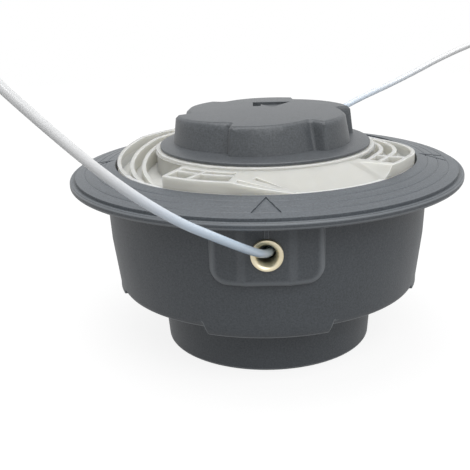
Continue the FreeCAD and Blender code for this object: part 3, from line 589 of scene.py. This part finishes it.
# Turned brass is a pale yellow metal with fine rings left by the tool, 0.2 mm apart.
tool_mark_pitch = 0.0002
tarnish_patch = 0.0025
brass, tree, shader, place = new_material("turned_brass")
centred = add_node(
    tree, "ShaderNodeMapping", inputs={"Location": (0, 0, -eyelet_z)}, links={"Vector": place}
)
tool_marks = add_node(
    tree,
    "ShaderNodeTexWave",
    {"wave_type": "RINGS", "rings_direction": "Y"},
    {"Scale": wave_at_scale_one / tool_mark_pitch, "Distortion": 1.0, "Detail": 2.0},
    {"Vector": centred.outputs["Vector"]},
)
tarnish = add_node(
    tree,
    "ShaderNodeTexNoise",
    inputs={"Scale": 1 / tarnish_patch, "Detail": 4.0},
    links={"Vector": place},
)
golden = add_node(
    tree,
    "ShaderNodeMix",
    {"data_type": "RGBA"},
    {6: linear("#E0D2AC"), 7: linear("#F2EAD4")},
    {0: tarnish.outputs["Fac"]},
)
polish = add_node(
    tree,
    "ShaderNodeMapRange",
    inputs={"To Min": 0.3, "To Max": 0.45},
    links={"Value": tarnish.outputs["Fac"]},
)
scored = add_node(
    tree,
    "ShaderNodeBump",
    inputs={"Strength": 0.15, "Distance": 0.00002},
    links={"Height": tool_marks.outputs["Fac"]},
)
tree.links.new(golden.outputs[2], shader.inputs["Base Color"])
tree.links.new(polish.outputs["Result"], shader.inputs["Roughness"])
tree.links.new(scored.outputs["Normal"], shader.inputs["Normal"])
shader.inputs["Metallic"].default_value = 1.0

for node, side in (("front_eyelet", -1), ("rear_eyelet", 1)):
    outline = [
        (eyelet_bore, eyelet_end),
        (eyelet_sleeve, eyelet_end),
        (eyelet_sleeve, eyelet_face),
        (lip_radius, eyelet_face),
        (lip_radius, lip_face),
    ]
    outline += [(radius, lip_face - depth) for radius, depth in trumpet]
    body = bmesh.new()
    corners = [body.verts.new((radius, side * y, eyelet_z)) for radius, y in outline]
    for near, far in zip(corners, corners[1:] + corners[:1]):
        body.edges.new((near, far))
    bmesh.ops.spin(
        body, geom=body.verts[:] + body.edges[:], cent=(0, 0, eyelet_z), axis=(0, 1, 0),
        angle=2 * math.pi, steps=64, use_merge=True,
    )
    bmesh.ops.remove_doubles(body, verts=body.verts, dist=same_place)
    bmesh.ops.recalc_face_normals(body, faces=body.faces)
    reach = {
        v: math.hypot(v.co.x, v.co.z - eyelet_z)
        for v in body.verts
        if abs(abs(v.co.y) - lip_face) < same_place
    }
    face_edges = [e for e in body.edges if all(v in reach for v in e.verts)]
    lip = [e for e in face_edges if abs(reach[e.verts[0]] - reach[e.verts[1]]) < same_place]
    bmesh.ops.bevel(
        body, geom=lip, offset=lip_roll, segments=5, profile=0.5, affect="EDGES", material=-1,
    )
    for face in body.faces:
        face.smooth = True
    piece = mesh_object(node + "_brass", body)
    piece.data.materials.append(brass)
    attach(piece, "head")
    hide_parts(node)

# Spring seat and bump spring
# A flat zinc-plated ring lies on the bowl's floor, and a compression spring coiled from
# round wire stands on it. The spring pushes the guide sleeve and the spool up.
dress("spring_seat", zinc)

spring_foot = 0.0244
spring_rise = 0.0208
coil_radius = 0.0099
wire_radius = 0.00075
closed_turns, closed_rise = 0.9, 0.0014
open_turns, open_rise = 3.2, spring_rise - 2 * closed_rise
steps_per_turn = 40
wire_sides = 12
same_spring_place = 1e-7

# Drawn spring wire is a darker steel, with fine die marks along it, 0.4 mm apart.
die_mark_pitch = 0.0004
spring_wire, tree, shader, place = new_material("drawn_spring_steel")
drawn = add_node(
    tree,
    "ShaderNodeTexWave",
    {"wave_type": "BANDS", "bands_direction": "Z"},
    {"Scale": wave_at_scale_one / die_mark_pitch, "Distortion": 3.0, "Detail": 2.0},
    {"Vector": place},
)
steel_tone = add_node(
    tree,
    "ShaderNodeMix",
    {"data_type": "RGBA"},
    {6: linear("#85878A"), 7: linear("#A5A7A9")},
    {0: drawn.outputs["Fac"]},
)
bright = add_node(
    tree,
    "ShaderNodeMapRange",
    inputs={"To Min": 0.25, "To Max": 0.42},
    links={"Value": drawn.outputs["Fac"]},
)
tree.links.new(steel_tone.outputs[2], shader.inputs["Base Color"])
tree.links.new(bright.outputs["Result"], shader.inputs["Roughness"])
shader.inputs["Metallic"].default_value = 1.0

body = bmesh.new()
stand = Matrix.Translation((coil_radius, 0, spring_foot)) @ Matrix.Rotation(math.pi / 2, 4, "X")
bmesh.ops.create_circle(body, cap_ends=True, segments=wire_sides, radius=wire_radius, matrix=stand)
leading = body.verts[:] + body.edges[:] + body.faces[:]
winding = [(closed_turns, closed_rise), (open_turns, open_rise), (closed_turns, closed_rise)]
for turns, rise in winding:
    steps = round(turns * steps_per_turn)
    leading = bmesh.ops.spin(
        body, geom=leading, cent=(0, 0, 0), axis=(0, 0, 1), dvec=(0, 0, rise / steps),
        angle=2 * math.pi * turns, steps=steps,
    )["geom_last"]
bmesh.ops.remove_doubles(body, verts=body.verts, dist=same_spring_place)
caps = [f for f in body.faces if len(f.verts) == wire_sides]
buried = [f for f in caps if not any(e.is_manifold for e in f.edges)]
bmesh.ops.delete(body, geom=buried, context="FACES_ONLY")
bmesh.ops.recalc_face_normals(body, faces=body.faces)
for face in body.faces:
    face.smooth = len(face.verts) == 4
spring = mesh_object("bump_spring_coil", body)
spring.data.materials.append(spring_wire)
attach(spring, "head")
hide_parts("bump_spring")
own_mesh(spring)

# Guide sleeve
# A black bush, moulded in acetal. It slides on the post's flats and carries the spool,
# and the spring below pushes it up.

# Acetal has a smooth waxy face with faint flow marks from its gate.
sleeve_flow_mark = 0.006
acetal, tree, shader, place = new_material("moulded_black_acetal")
waxy = add_node(
    tree,
    "ShaderNodeTexNoise",
    inputs={"Scale": 1 / sleeve_flow_mark, "Detail": 3.0},
    links={"Vector": place},
)
black = add_node(
    tree,
    "ShaderNodeMix",
    {"data_type": "RGBA"},
    {6: linear("#3A3B3D"), 7: linear("#47494B")},
    {0: waxy.outputs["Fac"]},
)
smooth = add_node(
    tree,
    "ShaderNodeMapRange",
    inputs={"To Min": 0.3, "To Max": 0.45},
    links={"Value": waxy.outputs["Fac"]},
)
tree.links.new(black.outputs[2], shader.inputs["Base Color"])
tree.links.new(smooth.outputs["Result"], shader.inputs["Roughness"])
dress("guide_sleeve", acetal)

# Washer and screw
# A zinc-plated washer and socket screw close the top of the post and keep the sleeve on.
# The screw runs down the post into the arbor bush.
dress("retaining_washer", zinc)
dress("retaining_screw", zinc)

# Spool
# One moulding of natural acetal: winding core, flanges and the ring of cells and vanes
# that shows around the knob. Its edges are small rounds and its faces satin.
ring_lip_inner, ring_lip_top = 0.0472, 0.0611

# Natural acetal is a warm grey white, and some light spreads through its thin walls. Its
# edges get a painted highlight, and the ring's lip, with the faces outside it and below its
# top, gets painted light. The mould's stipple is too fine to show, so it is drawn at 0.6 mm.
spool_flow_mark = 0.012
stipple_size = 0.0006
spool_edge_highlight = 0.6
ring_lip_fade, ring_lip_light = 0.0002, 0.7
natural, tree, shader, place = new_material("moulded_natural_acetal")
flow_marks = add_node(
    tree,
    "ShaderNodeTexNoise",
    inputs={"Scale": 1 / spool_flow_mark, "Detail": 3.0},
    links={"Vector": place},
)
stipple = add_node(
    tree,
    "ShaderNodeTexNoise",
    inputs={"Scale": 1 / stipple_size, "Detail": 2.0},
    links={"Vector": place},
)
warm_white = add_node(
    tree,
    "ShaderNodeMix",
    {"data_type": "RGBA"},
    {6: linear("#BEBEB9"), 7: linear("#C7C7C2")},
    {0: flow_marks.outputs["Fac"]},
)
# Painted highlight on the edges and painted light on the ring's lip
edge = add_node(tree, "ShaderNodeAttribute", {"attribute_name": "painted_edge_highlight"})
edge_highlight_tone = add_node(
    tree, "ShaderNodeMath", {"operation": "MULTIPLY"}, {1: spool_edge_highlight}, {0: edge.outputs["Fac"]}
)
flat_place = add_node(
    tree, "ShaderNodeVectorMath", {"operation": "MULTIPLY"}, {1: (1, 1, 0)}, {0: place}
)
from_axis = add_node(
    tree, "ShaderNodeVectorMath", {"operation": "LENGTH"}, links={0: flat_place.outputs["Vector"]}
)
past_lip = add_node(
    tree,
    "ShaderNodeMapRange",
    {"interpolation_type": "SMOOTHSTEP"},
    {
        "From Min": ring_lip_inner - ring_lip_fade,
        "From Max": ring_lip_inner + ring_lip_fade,
        "To Max": ring_lip_light,
    },
    {"Value": from_axis.outputs["Value"]},
)
height = add_node(tree, "ShaderNodeSeparateXYZ", links={"Vector": place})
below_lip_top = add_node(
    tree, "ShaderNodeMath", {"operation": "LESS_THAN"}, {1: ring_lip_top}, {0: height.outputs["Z"]}
)
lip_light = add_node(
    tree,
    "ShaderNodeMath",
    {"operation": "MULTIPLY"},
    links={0: past_lip.outputs["Result"], 1: below_lip_top.outputs[0]},
)
painted_light_tone = add_node(
    tree,
    "ShaderNodeMath",
    {"operation": "MAXIMUM"},
    links={0: edge_highlight_tone.outputs[0], 1: lip_light.outputs[0]},
)
pale = add_node(
    tree,
    "ShaderNodeMix",
    {"data_type": "RGBA"},
    {7: linear("#EDEDE8")},
    {0: painted_light_tone.outputs[0], 6: warm_white.outputs[2]},
)
satin = add_node(
    tree,
    "ShaderNodeMapRange",
    inputs={"To Min": 0.42, "To Max": 0.55},
    links={"Value": flow_marks.outputs["Fac"]},
)
stippled = add_node(
    tree,
    "ShaderNodeBump",
    inputs={"Strength": 0.12, "Distance": 0.00005},
    links={"Height": stipple.outputs["Fac"]},
)
tree.links.new(pale.outputs[2], shader.inputs["Base Color"])
tree.links.new(satin.outputs["Result"], shader.inputs["Roughness"])
tree.links.new(stippled.outputs["Normal"], shader.inputs["Normal"])
shader.inputs["IOR"].default_value = 1.48
shader.inputs["Specular IOR Level"].default_value = 0.35
shader.inputs["Subsurface Weight"].default_value = 1.0
shader.inputs["Subsurface Radius"].default_value = (1.0, 0.95, 0.85)
shader.inputs["Subsurface Scale"].default_value = 0.006

spool = moulded_copy("spool", edge_round=0.00012, crease=math.radians(30))
spool.data.materials.append(natural)
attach(spool, "feed_spool")

# Line packs
# Turns of the same nylon line, wound side by side and in layers on the spool's core,
# one pack on each side of the divider. Each turn is 2.4 mm thick.
wound, tree, shader, place = new_material("wound_nylon_line")
turns_of_line = add_node(
    tree,
    "ShaderNodeTexWave",
    {"wave_type": "BANDS", "bands_direction": "Z"},
    {"Scale": wave_at_scale_one / line_diameter},
    {"Vector": place},
)
# Each turn is darker where it dips towards the next: painted shade in the creases between turns
strand_with_painted_shade = add_node(
    tree,
    "ShaderNodeMix",
    {"data_type": "RGBA"},
    {6: linear("#AAB3BC"), 7: linear("#DCE5EE")},
    {0: turns_of_line.outputs["Fac"]},
)
round_strand = add_node(
    tree,
    "ShaderNodeBump",
    inputs={"Strength": 1.0, "Distance": 0.001},
    links={"Height": turns_of_line.outputs["Fac"]},
)
tree.links.new(strand_with_painted_shade.outputs[2], shader.inputs["Base Color"])
tree.links.new(round_strand.outputs["Normal"], shader.inputs["Normal"])
shader.inputs["Roughness"].default_value = 0.35
shader.inputs["IOR"].default_value = 1.53
dress("lower_line_pack", wound)
dress("upper_line_pack", wound)

# Bump knob
# A hollow moulding of the same nylon with a ratchet-shaped grip, a skirt and a ring that
# snaps into the spool. It has the housing's grain, no rings and only a faint painted
# highlight on its edges. Nothing on it is as high as its flange_from, so it has no painted
# flange light and no rings.
knob_edge_highlight = 0.15
knob_flange_from = 1.0
knob_nylon = charcoal.copy()
knob_nylon.name = "moulded_grey_nylon"
tree = knob_nylon.node_tree
tree.nodes["flow"].inputs[6].default_value = linear("#43474B")
tree.nodes["flow"].inputs[7].default_value = linear("#4C5054")
tree.nodes["painted_edge_light"].inputs[2].default_value = knob_edge_highlight
tree.nodes["flange"].inputs[1].default_value = knob_flange_from
knob = moulded_copy("bump_knob", edge_round=0.0002, crease=math.radians(60))
knob.data.materials.append(knob_nylon)
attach(knob, "feed_spool")

# Studio
# A sheet of matt paper under the head, a large softbox overhead and another high in
# front, a little to the right, so the tops are bright and the walls darker.
floor_radius = 0.7
floor_drop = 0.0002
floor_seen, floor_mirrored = 0.85, 0.55
room_light, room_seen = 0.5, 1.0
lamps_aim = Vector((0, 0, 0.05))
softboxes = {
    "overhead": ((-0.05, 0.02, 0.95), 0.8, 4.2),
    "front": ((0.30, -0.70, 0.80), 0.8, 5.2),
}

body = bmesh.new()
under_head = Matrix.Translation((0, 0, -floor_drop))
bmesh.ops.create_circle(body, cap_ends=True, segments=96, radius=floor_radius, matrix=under_head)
floor = mesh_object("floor", body)
paper = bpy.data.materials.new("matt_paper")
paper.use_nodes = True
tree = paper.node_tree
shader = tree.nodes["Principled BSDF"]
shader.inputs["Base Color"].default_value = linear("#7C7C7C")
shader.inputs["Roughness"].default_value = 0.9
shader.inputs["Specular IOR Level"].default_value = 0.0
shader.inputs["Emission Color"].default_value = (1, 1, 1, 1)
light_path = add_node(tree, "ShaderNodeLightPath")
seen = add_node(
    tree,
    "ShaderNodeMath",
    {"operation": "MAXIMUM"},
    links={0: light_path.outputs["Is Camera Ray"], 1: light_path.outputs["Is Transmission Ray"]},
)
mirrored = add_node(
    tree,
    "ShaderNodeMath",
    {"operation": "MULTIPLY"},
    {1: floor_mirrored},
    {0: light_path.outputs["Is Glossy Ray"]},
)
white = add_node(
    tree,
    "ShaderNodeMath",
    {"operation": "MULTIPLY_ADD"},
    {1: floor_seen},
    {0: seen.outputs[0], 2: mirrored.outputs[0]},
)
tree.links.new(white.outputs[0], shader.inputs["Emission Strength"])
floor.data.materials.append(paper)

for name, (where, across, power) in softboxes.items():
    lamp_data = bpy.data.lights.new(name, "AREA")
    lamp_data.shape = "DISK"
    lamp_data.size = across
    lamp_data.energy = power
    lamp = bpy.data.objects.new(name, lamp_data)
    lamp.location = where
    lamp.rotation_euler = (lamps_aim - lamp.location).to_track_quat("-Z", "Y").to_euler()
    bpy.context.collection.objects.link(lamp)

world = bpy.data.worlds.new("studio")
bpy.context.scene.world = world
world.use_nodes = True
tree = world.node_tree
room = tree.nodes["Background"]
room.inputs["Color"].default_value = (1, 1, 1, 1)
light_path = add_node(tree, "ShaderNodeLightPath")
seen_or_mirrored = add_node(
    tree,
    "ShaderNodeMath",
    {"operation": "MAXIMUM"},
    links={0: light_path.outputs["Is Camera Ray"], 1: light_path.outputs["Is Glossy Ray"]},
)
seen_at_all = add_node(
    tree,
    "ShaderNodeMath",
    {"operation": "MAXIMUM"},
    links={0: seen_or_mirrored.outputs[0], 1: light_path.outputs["Is Transmission Ray"]},
)
room_level = add_node(
    tree,
    "ShaderNodeMapRange",
    inputs={"To Min": room_light, "To Max": room_seen},
    links={"Value": seen_at_all.outputs[0]},
)
tree.links.new(room_level.outputs["Result"], room.inputs["Strength"])
bpy.context.scene.view_settings.view_transform = "Standard"
